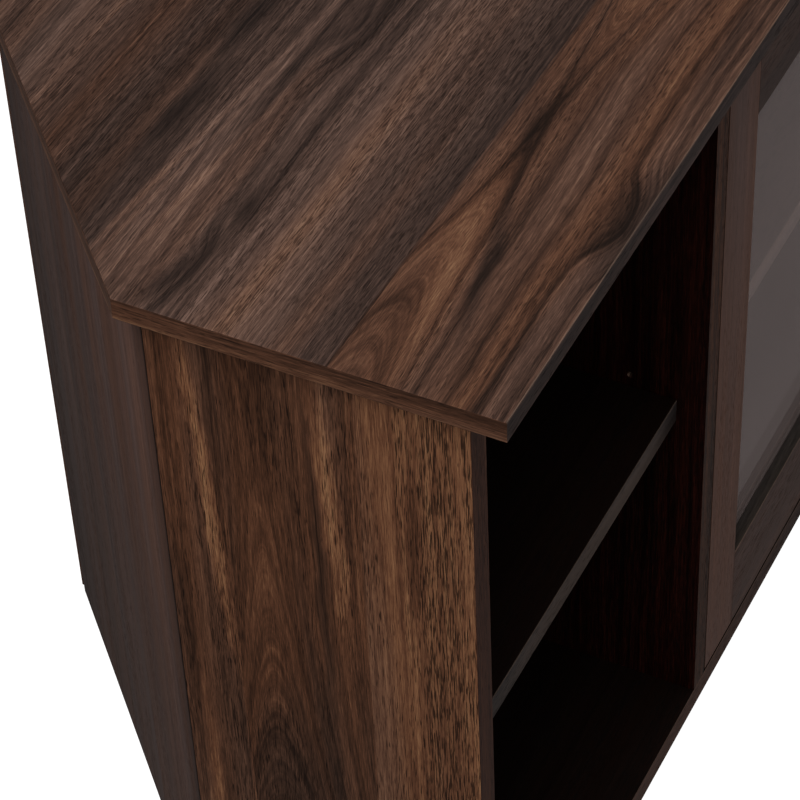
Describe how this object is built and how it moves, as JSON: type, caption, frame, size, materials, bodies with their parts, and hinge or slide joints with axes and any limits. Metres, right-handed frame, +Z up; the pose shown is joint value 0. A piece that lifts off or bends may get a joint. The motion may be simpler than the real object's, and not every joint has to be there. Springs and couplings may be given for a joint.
{
  "type": "corner tv cabinet",
  "caption": "Low corner television cabinet: a wide flat top with cut-off back corners, open shelved bays at both ends and framed glass doors in the middle.",
  "frame": {"origin": "on the floor under the middle of the top's box", "axes": "+X along the front to the right as seen from the front, +Y from the doors to the back, +Z up"},
  "size_m": [1.473, 0.52, 0.635],
  "materials": {
    "walnut_top": "dark walnut laminate with pores, satin",
    "walnut_side": "dark walnut laminate, grain upright, satin",
    "walnut_rear": "dark walnut laminate, grain upright, satin",
    "walnut_board": "dark walnut laminate, satin",
    "walnut_door": "dark walnut laminate, grain along the bar, satin",
    "back_board": "printed hardboard, matte",
    "door_glass": "clear tempered glass",
    "knob_metal": "dark bronze, satin",
    "hinge_steel": "nickel plated steel",
    "black_plastic": "moulded black plastic"
  },
  "bodies": {
    "cabinet": {"top_panel": "walnut_top", "bottom_panel": "walnut_board", "side_panel_left": "walnut_side", "side_panel_right": "walnut_side", "rear_panel_left": "walnut_rear", "rear_panel_right": "walnut_rear", "divider_left": "walnut_board", "divider_right": "walnut_board", "door_header": "walnut_door", "shelf_left": "walnut_board", "shelf_centre": "walnut_board", "shelf_right": "walnut_board", "back_sheet_left": "back_board", "back_sheet_centre": "back_board", "back_sheet_right": "back_board", "hinge_arm_left_lower": "hinge_steel", "hinge_arm_left_upper": "hinge_steel", "hinge_arm_right_lower": "hinge_steel", "hinge_arm_right_upper": "hinge_steel", "catch_left": "black_plastic", "catch_right": "black_plastic", "shelf_pin_left_1": "hinge_steel", "shelf_pin_left_2": "hinge_steel", "shelf_pin_left_3": "hinge_steel", "shelf_pin_left_4": "hinge_steel", "shelf_pin_right_1": "hinge_steel", "shelf_pin_right_2": "hinge_steel", "shelf_pin_right_3": "hinge_steel", "shelf_pin_right_4": "hinge_steel", "shelf_pin_centre_left_1": "hinge_steel", "shelf_pin_centre_left_2": "hinge_steel", "shelf_pin_centre_right_1": "hinge_steel", "shelf_pin_centre_right_2": "hinge_steel", "glide_left_front_outer": "black_plastic", "glide_left_front_inner": "black_plastic", "glide_left_rear": "black_plastic", "glide_right_front_outer": "black_plastic", "glide_right_front_inner": "black_plastic", "glide_right_rear": "black_plastic"},
    "door_left": {"door_left_hinge_stile": "walnut_door", "door_left_meeting_stile": "walnut_door", "door_left_bottom_rail": "walnut_door", "door_left_top_rail": "walnut_door", "door_left_glass": "door_glass", "door_left_knob": "knob_metal", "door_left_knob_screw": "hinge_steel", "hinge_cup_left_lower": "hinge_steel", "hinge_cup_left_upper": "hinge_steel", "strike_left": "hinge_steel"},
    "door_right": {"door_right_hinge_stile": "walnut_door", "door_right_meeting_stile": "walnut_door", "door_right_bottom_rail": "walnut_door", "door_right_top_rail": "walnut_door", "door_right_glass": "door_glass", "door_right_knob": "knob_metal", "door_right_knob_screw": "hinge_steel", "hinge_cup_right_lower": "hinge_steel", "hinge_cup_right_upper": "hinge_steel", "strike_right": "hinge_steel"}
  },
  "joints": [
    {"name": "door_left_swing", "type": "hinge", "parent": "cabinet", "child": "door_left", "pos_m": [-0.344, -0.232, 0.307], "axis": [0, 0, -1], "range_deg": [0, 100]},
    {"name": "door_right_swing", "type": "hinge", "parent": "cabinet", "child": "door_right", "pos_m": [0.344, -0.232, 0.307], "axis": [0, 0, 1], "range_deg": [0, 100]}
  ]
}
